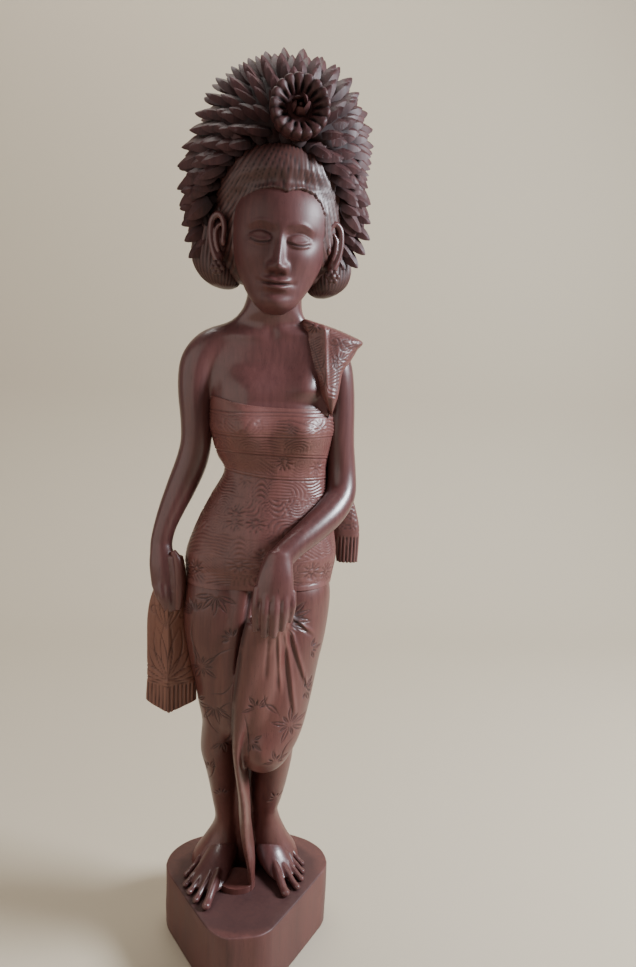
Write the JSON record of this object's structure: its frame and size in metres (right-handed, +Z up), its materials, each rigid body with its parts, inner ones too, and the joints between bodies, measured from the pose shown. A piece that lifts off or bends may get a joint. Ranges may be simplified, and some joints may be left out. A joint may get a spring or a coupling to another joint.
{
  "type": "carved_wooden_figure",
  "caption": "Tall carved figure of a standing woman in a wrapped sarong, scarf and leaf headdress, one with its rounded block, in dark waxed wood.",
  "frame": {"origin": "on the block's flat underside, under the middle of the block", "axes": "+Z up along the figure, the figure faces -Y, +X is to the viewer's right (the figure's left)"},
  "size_m": [0.1438, 0.1136, 0.6001],
  "materials": {
    "wood": "dark reddish brown carved hardwood, waxed to a soft gloss"
  },
  "bodies": {
    "root": {"carved_figure": "wood"}
  },
  "joints": []
}
